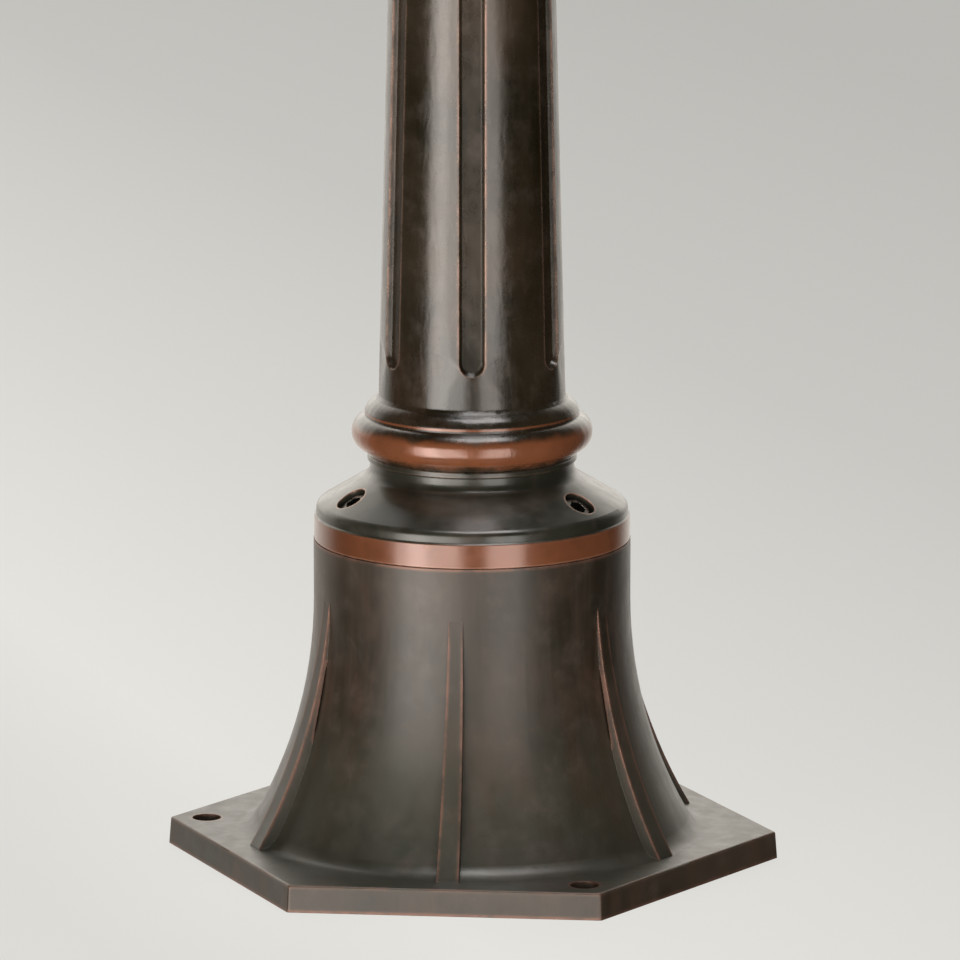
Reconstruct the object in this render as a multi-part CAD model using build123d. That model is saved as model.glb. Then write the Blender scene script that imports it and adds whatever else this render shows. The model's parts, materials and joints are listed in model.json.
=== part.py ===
from build123d import *

import os
from math import acos, atan2, cos, degrees, pi, radians, sin, sqrt, tan

# Double-faced street clock on a fluted post.
# Frame: origin on the ground at the centre of the base plate, +Z up.
# The front dial faces -Y and the back dial faces +Y. All sizes are in millimetres.

os.makedirs("parts", exist_ok=True)

# ---- driving dimensions of the base ----
PLATE_CORNER_R = 100.0        # hexagonal plate, centre to corner at its top
PLATE_T = 8.8
PLATE_FLARE = 0.7             # the plate's foot stands out this much past its top
PLATE_CORNER_FILLET = 1.2
PLATE_EDGE_FILLET = 0.7
ANCHOR_COUNT = 3
ANCHOR_CIRCLE_R = 88.0
ANCHOR_HOLE_R = 4.75
ANCHOR_START = 60.0           # the first anchor hole's direction

BELL_TOP_R = 51.75
BELL_TOP_Z = 105.5
BELL_CURVE_Z = 85.9           # the flare starts here, below a straight band
BELL_CURVE_R = 150.0
BELL_FOOT_FILLET = 7.0
BELL_WALL = 5.0
BELL_FLANGE_T = 9.5

FORCED = 0.01                 # radial clearance of a wheel driven onto its arbor
SNUG = 0.02                   # radial clearance of a screw or stud in its hole
RUNNING = 0.05                # radial clearance of a pin or spigot in its bore

RIB_COUNT = 6
RIB_TOP_Z = 88.4
RIB_MID = (59.8, 48.0)        # radius and height of a point halfway down a rib's face
RIB_FOOT = (77.5, 9.0)
RIB_TOP_W = 4.6
RIB_FOOT_W = 7.4
RIB_ROOT = 3.0                # the rib goes this far into the bell's wall and the plate

# ---- collar on top of the bell ----
COLLAR_R = 51.55
BAND_TOP_Z = 113.4
DOME_R = 50.9
DOME_EDGE_Z = 117.0
DOME_SLOPE = 0.6
DOME_FILLET = 6.0
NECK_R = 33.25
NECK_FILLET = 4.5
COLLAR_RIM_R = 34.15
COLLAR_RIM_Z = 131.8
COLLAR_TOP_Z = 133.8
COLLAR_WALL = 5.0
SPIGOT_BORE_R = 26.0

SCREW_COUNT = 3
SCREW_ANGLE = 90.0            # the first collar screw's direction
SCREW_R = 43.0                # radius at which a screw's axis leaves the dome
SCREW_HEAD_R = 4.6
SCREW_HEAD_H = 5.6
SCREW_SHANK_R = 3.0
SCREW_LENGTH = 17.0
SCREW_SOCKET_AF = 5.0
COUNTERBORE_R = 5.2
SCREW_POST_R = 7.6            # solid metal left round each screw inside the collar
HEAD_RECESS = 1.6             # head top below the dome's surface

# ---- lower shaft ----
SHAFT_CLOCKING = 5.8          # the flutes stand this many degrees off the base's flats
SPIGOT_R = 25.95
SPIGOT_THREAD_R = 24.0
SPIGOT_END_Z = 82.0
FOOT_R = 34.0
TORUS_R = 33.4
TORUS_Z = 140.9
TORUS_SECTION_R = 5.9
TORUS_SWEEP = 74.0            # the torus's arc goes this far above and below its middle
LIP_R = 35.0
LIP_Z = 148.0
SHAFT_FOOT_R = 30.45
SHAFT_FOOT_Z = 153.2
SHAFT_TAPER = 0.0247
SHAFT_TOP_Z = 533.0
FLUTE_COUNT = 6
FLUTE_FOOT_Z = 163.9
FLUTE_TOP_Z = 508.0
FLUTE_W = 8.8
FLUTE_FLOOR_W = 6.4
FLUTE_DEPTH = 1.9
LOCK_NUT_FLAT = 66.0
LOCK_NUT_T = 10.0

# ---- mid collar and upper shaft ----
MID_SPIGOT_R = 17.4
MID_SPIGOT_L = 22.0
MID_COLLAR_H = 56.0
MID_COLLAR_STEP = 3.6         # the collar's foot stands out this much past the shaft
MID_COLLAR_R = SHAFT_FOOT_R - SHAFT_TAPER * (SHAFT_TOP_Z - SHAFT_FOOT_Z) + MID_COLLAR_STEP
MID_COLLAR_BAND_R = MID_COLLAR_R - 1.4
MID_WEB_T = 5.0
UPPER_FOOT_R = 19.4
UPPER_TOP_R = 17.6
UPPER_TOP_Z = 1420.0
UPPER_BORE_R = 12.0
UPPER_SPIGOT_R = 15.0
UPPER_SPIGOT_L = 24.0
UPPER_FLUTE_W = 6.2
UPPER_FLUTE_FLOOR_W = 4.4
UPPER_FLUTE_DEPTH = 1.3
UPPER_FLUTE_MARGIN = 26.0
SET_SCREW_R = 2.5
SET_SCREW_RECESS = 0.3
SET_SCREW_SOCKET_R = 1.5
SET_SCREW_START = 30.0        # the first set screw's direction
SET_SCREW_LOW = 9.0           # above the mid collar's foot
SET_SCREW_HIGH = 10.0         # above the capital's foot

# ---- capital, case and finial ----
CAPITAL_H = 84.0
CAPITAL_NECK_R = 20.4
CAPITAL_TOP_R = 42.0
CAPITAL_WEB_T = 14.0
CASE_Z = 1667.0
CASE_R = 150.0
CASE_WALL = 5.0
CASE_HALF = 50.0              # centre plane to the drum's face
CASE_FOOT_R = 32.0
CASE_BOSS_R = 19.0
CASE_BOSS_TOP = 1824.0
HEAD_STUD_R = 12.0
HEAD_STUD_BORE = 7.0
HEAD_NUT_R = 20.0
HEAD_NUT_T = 10.0
CASE_FLOOR_Z = CASE_Z - CASE_R + 12.0
FINIAL_TIP_Z = 1905.0
FINIAL_SHANK_R = 5.0

CARRIER_SCREWS = [(-12.0, 136.0), (12.0, 136.0), (-28.0, -130.0), (28.0, -130.0)]
CARRIER_SCREW_R = 2.0
CARRIER_W = 72.0
LUG_W = 13.0
LUG_T = 8.0
LUG_H = 22.0

# ---- one side of the clock, measured outwards from the case's centre plane ----
DIAL_R = 143.4
DIAL_D = 37.0
DIAL_T = 2.0
DIAL_BORE_R = 6.0
DIAL_LEDGE_R = 134.0
DIAL_LEDGE_T = 3.0
DIAL_SCREW_R = 139.2
DIAL_SHANK_R = 1.5
CARRIER_HALF = 3.0
PLATE_D = 28.0
PLATE_BACK_T = 2.0
PILLARS = [(-29.0, -56.0), (-29.0, 40.0), (29.0, -56.0), (29.0, 40.0)]
PILLAR_SHANK_R = 1.55
ARBOR_R = 2.4
ARBOR_END_R = 1.9             # where the minute hand and its nut sit
ARBOR_END = 50.4
PIVOT_R = 1.5
PRESSURE_ANGLE = radians(25.0)
ADDENDUM = 0.8
DEDENDUM = 1.1
BACKLASH = 0.18
MOTION_CENTRE = 24.0          # arbor to intermediate stud
CANNON_TEETH = 12
CANNON_MODULE = 1.0
MINUTE_WHEEL_TEETH = 36
MINUTE_PINION_TEETH = 10
HOUR_MODULE = 0.96
HOUR_WHEEL_TEETH = 40
CENTRE_WHEEL_TEETH = 60
DRIVE_MODULE = 0.75
MOTOR_PINION_TEETH = 12
MOTOR_CENTRE = DRIVE_MODULE * (CENTRE_WHEEL_TEETH + MOTOR_PINION_TEETH) / 2
MOTOR_R = 20.5
HOUR_TUBE_R = 5.0
HOUR_HAND_D = 42.0
MINUTE_HAND_D = 46.0
HAND_T = 1.2
HOUR_HAND_L = 84.0
MINUTE_HAND_L = 118.0
HOUR_HAND_ANGLE = -305.0      # ten past ten, measured anticlockwise from twelve
MINUTE_HAND_ANGLE = -60.0

BEZEL_R = 156.0
BEZEL_IN_R = 127.0
BEZEL_BACK_D = 51.0
BEZEL_FRONT_D = 63.0
BEZEL_LAND = (136.0, 149.2)   # flat ring on the bezel's front that the knob sits on
GLASS_R = 133.0
GLASS_D = 53.0
GLASS_T = 3.0
HINGE_X = -162.0
HINGE_D = 56.5
KNUCKLE_R = 4.5
KNUCKLE_HALF = 8.0
HINGE_HALF = 24.0
HINGE_PIN_R = 2.0
HINGE_SCREWS = (-16.0, 16.0)
HINGE_SCREW_D = 29.0
HINGE_SHANK_R = 1.5
LEAF_X = -156.5
KNOB_X = 141.8
KNOB_SHANK_R = 2.55
KNOB_END_R = 1.9
CAM_D = 45.2
CAM_T = 2.0
CAM_REACH = 5.5
CAM_W = 4.4
STRIKE_REACH = 6.6
STRIKE_W = 20.0

BATTERY_R = 7.25
BATTERY_L = 50.5
BATTERY_V = 86.0
CLIP_H = 11.0
CLIP_FLOOR_T = 2.2


def save(shape, name):
    """Writes one sub-part as parts/NAME.step."""
    shape.label = name
    export_step(shape, "parts/" + name + ".step")


def turned(line):
    """A solid turned about Z from a closed outline drawn in X (radius) and Z."""
    return revolve(make_face(line), Axis.Z)


def rz(points):
    """Points given as (radius, height), placed in the XZ plane."""
    return [(r, 0, z) for r, z in points]


def turned_polygon(points, radii=None):
    """Turns a closed outline of (radius, height) corners, each rounded by its radius."""
    if radii is None:
        return turned(Polyline(*rz(points), close=True))
    return turned(FilletPolyline(*rz(points), radius=radii, close=True))


def tube(r_out, r_in, z0, z1):
    ring = Circle(r_out) - Circle(r_in) if r_in else Circle(r_out)
    return Pos(0, 0, z0) * extrude(ring, z1 - z0)


def around(count, start=0.0):
    """Rotations about Z, evenly spaced."""
    return [Rot(0, 0, start + 360.0 * i / count) for i in range(count)]


def merged(shapes):
    total = shapes[0]
    for shape in shapes[1:]:
        total = total + shape
    return total


def shaft_radius(z):
    return SHAFT_FOOT_R - SHAFT_TAPER * (z - SHAFT_FOOT_Z)


# ---------------------------------------------------------------- base
def bell_centre():
    """Centre of the big arc that the bell's flare follows."""
    return BELL_TOP_R + BELL_CURVE_R, BELL_CURVE_Z


def foot_fillet():
    """Centre of the small arc at the bell's foot, and where it leaves the flare."""
    cr, cz = bell_centre()
    z = PLATE_T + BELL_FOOT_FILLET
    reach = BELL_CURVE_R - BELL_FOOT_FILLET
    r = cr - sqrt(reach**2 - (cz - z) ** 2)
    scale = BELL_CURVE_R / reach
    return (r, z), (cr + (r - cr) * scale, cz + (z - cz) * scale)


def flare_point(z, offset=0.0):
    """Radius of the flare at height z, moved inwards by offset."""
    cr, cz = bell_centre()
    return cr - sqrt((BELL_CURVE_R + offset) ** 2 - (cz - z) ** 2), z


def bell_shell():
    (fr, fz), touch = foot_fillet()
    halfway = (atan2(touch[1] - fz, touch[0] - fr) - pi / 2) / 2
    corner = (fr + BELL_FOOT_FILLET * cos(halfway), fz + BELL_FOOT_FILLET * sin(halfway))
    middle = flare_point((BELL_CURVE_Z + touch[1]) / 2)
    outside = [
        Line(*rz([(0, PLATE_T - 1), (fr, PLATE_T - 1)])),
        Line(*rz([(fr, PLATE_T - 1), (fr, PLATE_T)])),
        ThreePointArc(*rz([(fr, PLATE_T), corner, touch])),
        ThreePointArc(*rz([touch, middle, (BELL_TOP_R, BELL_CURVE_Z)])),
        Line(*rz([(BELL_TOP_R, BELL_CURVE_Z), (BELL_TOP_R, BELL_TOP_Z)])),
        Line(*rz([(BELL_TOP_R, BELL_TOP_Z), (0, BELL_TOP_Z)])),
        Line(*rz([(0, BELL_TOP_Z), (0, PLATE_T - 1)])),
    ]
    return turned(Curve() + outside)


def bell_cavity():
    inner_top = BELL_TOP_Z - BELL_FLANGE_T
    bottom = flare_point(0.0, BELL_WALL)
    below = -1.0
    halfway = flare_point(BELL_CURVE_Z / 2, BELL_WALL)
    inner_r = BELL_TOP_R - BELL_WALL
    outline = [
        Line(*rz([(0, below), (bottom[0], below)])),
        Line(*rz([(bottom[0], below), bottom])),
        ThreePointArc(*rz([bottom, halfway, (inner_r, BELL_CURVE_Z)])),
        Line(*rz([(inner_r, BELL_CURVE_Z), (inner_r, inner_top)])),
        Line(*rz([(inner_r, inner_top), (0, inner_top)])),
        Line(*rz([(0, inner_top), (0, below)])),
    ]
    return turned(Curve() + outline)


def rib():
    """One fin down the bell, facing -Y, wider at its foot."""
    back_top = (BELL_TOP_R - RIB_ROOT, RIB_TOP_Z)
    back_foot = (RIB_FOOT[0] - 4 * RIB_ROOT, RIB_FOOT[1] - RIB_ROOT)
    face = (BELL_TOP_R, RIB_TOP_Z)
    side = [
        ThreePointArc(*rz([face, RIB_MID, RIB_FOOT])),
        Line(*rz([RIB_FOOT, (RIB_FOOT[0], RIB_FOOT[1] - RIB_ROOT)])),
        Line(*rz([(RIB_FOOT[0], RIB_FOOT[1] - RIB_ROOT), back_foot])),
        Line(*rz([back_foot, back_top])),
        Line(*rz([back_top, face])),
    ]
    blade = extrude(make_face(Curve() + side), RIB_FOOT_W, both=True)
    low = RIB_FOOT[1] - RIB_ROOT - 1
    high = RIB_TOP_Z + 1
    wedge = [(-RIB_FOOT_W / 2, low), (RIB_FOOT_W / 2, low), (RIB_TOP_W / 2, high), (-RIB_TOP_W / 2, high)]
    front = make_face(Polyline(*[(0, y, z) for y, z in wedge], close=True))
    return Rot(0, 0, -90) * (blade & extrude(front, 200.0, dir=(1, 0, 0)))


def screw_place(angle):
    """The frame of a collar screw: origin on the dome, +Z out along the screw's axis."""
    z = DOME_EDGE_Z + (DOME_R - SCREW_R) * DOME_SLOPE
    tilt = degrees(atan2(DOME_SLOPE, 1.0))
    return Rot(0, 0, angle) * Pos(SCREW_R, 0, z) * Rot(0, tilt, 0)


def screw_angles():
    return [SCREW_ANGLE + 360.0 * i / SCREW_COUNT for i in range(SCREW_COUNT)]


def base_casting():
    foot = RegularPolygon(PLATE_CORNER_R + PLATE_FLARE, 6)
    top = Pos(0, 0, PLATE_T) * RegularPolygon(PLATE_CORNER_R, 6)
    plate = loft([foot.face(), top.face()])
    uprights = [e for e in plate.edges() if abs(e.tangent_at(0.5).Z) > 0.5]
    plate = fillet(uprights, PLATE_CORNER_FILLET)
    plate = fillet(plate.faces().sort_by(Axis.Z)[-1].edges(), PLATE_EDGE_FILLET)
    body = plate + bell_shell()
    body = merged([body] + [turn * rib() for turn in around(RIB_COUNT)])
    body = body - bell_cavity() - tube(SPIGOT_BORE_R, 0, 0, BELL_TOP_Z + 1)
    reach = HEAD_RECESS + SCREW_HEAD_H + SCREW_LENGTH + 1.5
    tapped_hole = tube(SCREW_SHANK_R + SNUG, 0, -reach, 0)
    for angle in screw_angles():
        body = body - screw_place(angle) * tapped_hole
    anchor_hole = Pos(ANCHOR_CIRCLE_R, 0, 0) * tube(ANCHOR_HOLE_R, 0, -1, PLATE_T + 1)
    for turn in around(ANCHOR_COUNT, ANCHOR_START):
        body = body - turn * anchor_hole
    return body


# ---------------------------------------------------------------- collar
def base_collar():
    neck_z = DOME_EDGE_Z + (DOME_R - NECK_R) * DOME_SLOPE
    outline = [
        (SPIGOT_BORE_R, BELL_TOP_Z), (COLLAR_R, BELL_TOP_Z), (COLLAR_R, BAND_TOP_Z),
        (DOME_R, BAND_TOP_Z + 0.5), (DOME_R, DOME_EDGE_Z), (NECK_R, neck_z),
        (NECK_R, COLLAR_RIM_Z - 0.5), (COLLAR_RIM_R, COLLAR_RIM_Z), (COLLAR_RIM_R, COLLAR_TOP_Z),
        (SPIGOT_BORE_R, COLLAR_TOP_Z),
    ]
    radii = [0, 0.5, 0.6, 0.15, 2.8, NECK_FILLET, 0.2, 0.2, 0.7, 0]
    body = turned_polygon(outline, radii)
    low_r = SPIGOT_BORE_R + COLLAR_WALL
    high_r = COLLAR_R - COLLAR_WALL
    roof_z = DOME_EDGE_Z - COLLAR_WALL * sqrt(1 + DOME_SLOPE**2)
    cavity = turned_polygon([
        (low_r, BELL_TOP_Z - 1), (high_r, BELL_TOP_Z - 1),
        (high_r, roof_z + (DOME_R - high_r) * DOME_SLOPE), (low_r, roof_z + (DOME_R - low_r) * DOME_SLOPE),
    ])
    seat = HEAD_RECESS + SCREW_HEAD_H
    reach = seat + SCREW_LENGTH
    screw_post = tube(SCREW_POST_R, 0, -reach, 0)
    counterbore = tube(COUNTERBORE_R, 0, -seat, SCREW_HEAD_H)
    passage = tube(SCREW_SHANK_R + 0.3, 0, -reach, 0)
    for angle in screw_angles():
        place = screw_place(angle)
        cavity = cavity - place * screw_post
        body = body - place * counterbore - place * passage
    return body - cavity


def cap_screw():
    """A socket-head cap screw, head top at z = 0, shank down."""
    head = tube(SCREW_HEAD_R, 0, -SCREW_HEAD_H, 0)
    head = fillet(head.edges().sort_by(Axis.Z)[-1], SCREW_HEAD_H * 0.12)
    shank = tube(SCREW_SHANK_R, 0, -SCREW_HEAD_H - SCREW_LENGTH, -SCREW_HEAD_H)
    hexagon = RegularPolygon(SCREW_SOCKET_AF / sqrt(3), 6)
    socket = Pos(0, 0, -SCREW_HEAD_H * 0.6) * extrude(hexagon, SCREW_HEAD_H)
    return head + shank - socket


def collar_screws():
    screw = cap_screw()
    return Compound([screw_place(a) * Pos(0, 0, -HEAD_RECESS) * screw for a in screw_angles()])


# ---------------------------------------------------------------- shafts
def flute_cutter(z0, z1, radius_at, taper, width, floor_w, depth):
    """One round-ended groove facing -Y, following the shaft's taper."""
    length = z1 - z0
    middle = (z0 + z1) / 2
    lean = degrees(atan2(taper, 1.0))
    grow = (width - floor_w) / depth

    def slot(out):
        w = floor_w + grow * (depth + out)
        return Pos(0, 0, out) * Rot(0, 0, 90) * SlotOverall(length - width + w, w)

    cutter = loft([slot(-depth).face(), slot(1.0).face()])
    face_out = Pos(0, -radius_at(middle), middle) * Rot(90 - lean, 0, 0)
    return face_out * cutter


def lower_shaft():
    lean = radians(TORUS_SWEEP)
    torus_low = (TORUS_R + TORUS_SECTION_R * cos(lean), TORUS_Z - TORUS_SECTION_R * sin(lean))
    torus_high = (TORUS_R + TORUS_SECTION_R * cos(lean), TORUS_Z + TORUS_SECTION_R * sin(lean))
    torus_out = (TORUS_R + TORUS_SECTION_R, TORUS_Z)
    top_r = shaft_radius(SHAFT_TOP_Z)
    spigot_top = SHAFT_TOP_Z + MID_SPIGOT_L
    bore = UPPER_BORE_R + 2
    thread_z = BELL_TOP_Z - BELL_FLANGE_T
    outline = [
        Polyline(*rz([
            (bore, spigot_top), (bore, SHAFT_TOP_Z - 15), (SHAFT_FOOT_R - 6, SHAFT_FOOT_Z + 12),
            (SPIGOT_THREAD_R - 4.5, SHAFT_FOOT_Z), (SPIGOT_THREAD_R - 4.5, SPIGOT_END_Z),
            (SPIGOT_THREAD_R, SPIGOT_END_Z), (SPIGOT_THREAD_R, thread_z), (SPIGOT_R, thread_z),
            (SPIGOT_R, COLLAR_TOP_Z), (FOOT_R, COLLAR_TOP_Z), torus_low,
        ])),
        ThreePointArc(*rz([torus_low, torus_out, torus_high])),
        Line(*rz([torus_high, (LIP_R, LIP_Z - 0.9)])),
        Line(*rz([(LIP_R, LIP_Z - 0.9), (LIP_R, LIP_Z)])),
        ThreePointArc(*rz([(LIP_R, LIP_Z), (33.6, 150.4), (31.4, 151.9)])),
        ThreePointArc(*rz([(31.4, 151.9), (30.85, 152.5), (SHAFT_FOOT_R, SHAFT_FOOT_Z)])),
        Polyline(*rz([
            (SHAFT_FOOT_R, SHAFT_FOOT_Z), (top_r, SHAFT_TOP_Z), (MID_SPIGOT_R, SHAFT_TOP_Z),
            (MID_SPIGOT_R, spigot_top), (bore, spigot_top),
        ])),
    ]
    body = turned(Curve() + outline)
    groove = flute_cutter(
        FLUTE_FOOT_Z, FLUTE_TOP_Z, shaft_radius, SHAFT_TAPER, FLUTE_W, FLUTE_FLOOR_W, FLUTE_DEPTH
    )
    for turn in around(FLUTE_COUNT, SHAFT_CLOCKING):
        body = body - turn * groove
    return body


def shaft_lock_nut():
    """Hexagonal ring nut under the bell's flange, on the shaft's threaded end."""
    top = BELL_TOP_Z - BELL_FLANGE_T
    across = LOCK_NUT_FLAT / 2
    nut = extrude(RegularPolygon(2 * across / sqrt(3), 6) - Circle(SPIGOT_THREAD_R + SNUG), LOCK_NUT_T)
    chamfered = turned_polygon([
        (0, 0), (across, 0), (across + 5, 2.9),
        (across + 5, LOCK_NUT_T - 2.9), (across, LOCK_NUT_T), (0, LOCK_NUT_T),
    ])
    return Pos(0, 0, top - LOCK_NUT_T) * (nut & chamfered)


def mid_collar():
    """Turned coupling that joins the fluted lower shaft to the slimmer upper one."""
    z0 = SHAFT_TOP_Z
    z1 = z0 + MID_COLLAR_H
    foot_r = MID_COLLAR_R
    fillet_r = foot_r + 0.6
    neck_r = foot_r - 2.9
    bore_low = MID_SPIGOT_R + RUNNING
    bore_high = UPPER_SPIGOT_R + RUNNING
    web = z0 + MID_SPIGOT_L + 0.5
    foot = [
        (bore_low, z0), (foot_r, z0), (foot_r, z0 + 3.0), (MID_COLLAR_BAND_R, z0 + 4.2),
        (MID_COLLAR_BAND_R, z0 + 14.0), (fillet_r, z0 + 16.0), (fillet_r, z0 + 18.5),
    ]
    ring = [(fillet_r, z0 + 18.5), (foot_r + 6.4, z0 + 24.0), (fillet_r, z0 + 29.5)]
    scoop = [(fillet_r, z0 + 31.0), (foot_r - 2.4, z0 + 36.5), (neck_r, z0 + 44.0)]
    bead_and_bores = [
        (neck_r, z0 + 44.0), (foot_r - 1.2, z0 + 46.0), (foot_r - 1.2, z0 + 50.0),
        (neck_r, z0 + 52.0), (neck_r, z1), (bore_high, z1), (bore_high, web + MID_WEB_T),
        (UPPER_BORE_R, web + MID_WEB_T), (UPPER_BORE_R, web), (bore_low, web), (bore_low, z0),
    ]
    outline = [
        Polyline(*rz(foot)),
        ThreePointArc(*rz(ring)),
        Line(*rz([ring[-1], scoop[0]])),
        ThreePointArc(*rz(scoop)),
        Polyline(*rz(bead_and_bores)),
    ]
    body = turned(Curve() + outline)
    for hole in radial_holes(z0 + SET_SCREW_LOW):
        body = body - hole
    return body


def radial_holes(z):
    """Tapped holes for three set screws, evenly spaced round a collar."""
    hole = Pos(0, 0, z) * Rot(0, 90, 0) * tube(SET_SCREW_R + SNUG, 0, 0, 60)
    return [turn * hole for turn in around(SCREW_COUNT, SET_SCREW_START)]


def radial_screws(z, inner_r, outer_r):
    """Socket set screws that press on a spigot, in the holes of radial_holes."""
    length = outer_r - SET_SCREW_RECESS - inner_r
    socket = Pos(0, 0, length - 2.5) * extrude(RegularPolygon(SET_SCREW_SOCKET_R, 6), 3.0)
    screw = Pos(inner_r, 0, z) * Rot(0, 90, 0) * (tube(SET_SCREW_R, 0, 0, length) - socket)
    return [turn * screw for turn in around(SCREW_COUNT, SET_SCREW_START)]


def set_screws():
    """Three in the mid collar and three in the capital."""
    low = radial_screws(SHAFT_TOP_Z + SET_SCREW_LOW, MID_SPIGOT_R + RUNNING, MID_COLLAR_BAND_R)
    high = radial_screws(UPPER_TOP_Z + SET_SCREW_HIGH, UPPER_SPIGOT_R + RUNNING, CAPITAL_NECK_R)
    return Compound(low + high)


def upper_radius(z):
    z0 = SHAFT_TOP_Z + MID_COLLAR_H
    share = (z - z0) / (UPPER_TOP_Z - z0)
    return UPPER_FOOT_R + (UPPER_TOP_R - UPPER_FOOT_R) * share


def upper_shaft():
    z0 = SHAFT_TOP_Z + MID_COLLAR_H
    web_top = SHAFT_TOP_Z + MID_SPIGOT_L + 0.5 + MID_WEB_T
    spigot_top = UPPER_TOP_Z + UPPER_SPIGOT_L
    body = turned_polygon([
        (UPPER_BORE_R, web_top), (UPPER_SPIGOT_R, web_top), (UPPER_SPIGOT_R, z0), (UPPER_FOOT_R, z0),
        (UPPER_TOP_R, UPPER_TOP_Z), (UPPER_SPIGOT_R, UPPER_TOP_Z), (UPPER_SPIGOT_R, spigot_top),
        (UPPER_BORE_R, spigot_top),
    ])
    taper = (UPPER_FOOT_R - UPPER_TOP_R) / (UPPER_TOP_Z - z0)
    groove = flute_cutter(
        z0 + UPPER_FLUTE_MARGIN, UPPER_TOP_Z - UPPER_FLUTE_MARGIN, upper_radius, taper,
        UPPER_FLUTE_W, UPPER_FLUTE_FLOOR_W, UPPER_FLUTE_DEPTH,
    )
    for turn in around(FLUTE_COUNT, SHAFT_CLOCKING):
        body = body - turn * groove
    return body


# ---------------------------------------------------------------- head
def capital():
    """Turned capital that carries the clock case on the upper shaft."""
    z0 = UPPER_TOP_Z
    z1 = z0 + CAPITAL_H
    bore = UPPER_SPIGOT_R + RUNNING
    stud_bore = HEAD_STUD_R + SNUG
    cable_bore = UPPER_BORE_R - 3
    socket_top = z0 + UPPER_SPIGOT_L + 0.5
    stud_seat = socket_top + CAPITAL_WEB_T
    foot = [
        (bore, z0), (22.0, z0), (22.0, z0 + 3.0), (CAPITAL_NECK_R, z0 + 4.5),
        (CAPITAL_NECK_R, z0 + 15.0), (22.4, z0 + 17.0),
    ]
    ring = [(22.4, z0 + 17.0), (28.2, z0 + 22.5), (22.4, z0 + 28.0)]
    cup = [(22.4, z0 + 30.0), (25.0, z0 + 52.0), (38.5, z0 + 70.0)]
    top_and_bores = [
        (38.5, z0 + 70.0), (40.5, z0 + 70.0), (CAPITAL_TOP_R, z0 + 72.0), (CAPITAL_TOP_R, z0 + 78.0),
        (40.0, z0 + 80.0), (36.0, z0 + 80.0), (36.0, z1), (stud_bore, z1), (stud_bore, stud_seat),
        (cable_bore, stud_seat), (cable_bore, socket_top), (bore, socket_top), (bore, z0),
    ]
    outline = [
        Polyline(*rz(foot)),
        ThreePointArc(*rz(ring)),
        Line(*rz([ring[-1], cup[0]])),
        ThreePointArc(*rz(cup)),
        Polyline(*rz(top_and_bores)),
    ]
    body = turned(Curve() + outline)
    for hole in radial_holes(z0 + SET_SCREW_HIGH):
        body = body - hole
    return body


def head_stud():
    """Hollow stud that ties the case to the capital."""
    z0 = UPPER_TOP_Z + UPPER_SPIGOT_L + 0.5 + CAPITAL_WEB_T
    return tube(HEAD_STUD_R, HEAD_STUD_BORE, z0, CASE_FLOOR_Z + 16.0)


def head_nut():
    ring = RegularPolygon(HEAD_NUT_R, 6) - Circle(HEAD_STUD_R + SNUG)
    return Pos(0, 0, CASE_FLOOR_Z) * extrude(ring, HEAD_NUT_T)


def dial_frame(back=False):
    """Local frame of one side: X to the viewer's right, Y up, Z outwards from the case's centre."""
    turn = Rot(0, 0, 180) if back else Rot(0, 0, 0)
    return turn * Pos(0, 0, CASE_Z) * Rot(90, 0, 0)


def drum_outline():
    """Half section of the drum's wall: X is the radius, Z runs along the drum."""
    inner = CASE_R - CASE_WALL
    return [
        (inner, 0), (inner, DIAL_D - DIAL_LEDGE_T), (DIAL_LEDGE_R, DIAL_D - DIAL_LEDGE_T),
        (DIAL_LEDGE_R, DIAL_D), (inner, DIAL_D), (inner, CASE_HALF), (CASE_R + 3, CASE_HALF),
        (CASE_R + 3, CASE_HALF - 7), (CASE_R + 1.6, CASE_HALF - 8.2), (CASE_R + 1.6, CASE_HALF - 10),
        (CASE_R, CASE_HALF - 11.5), (CASE_R, 0),
    ]


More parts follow.
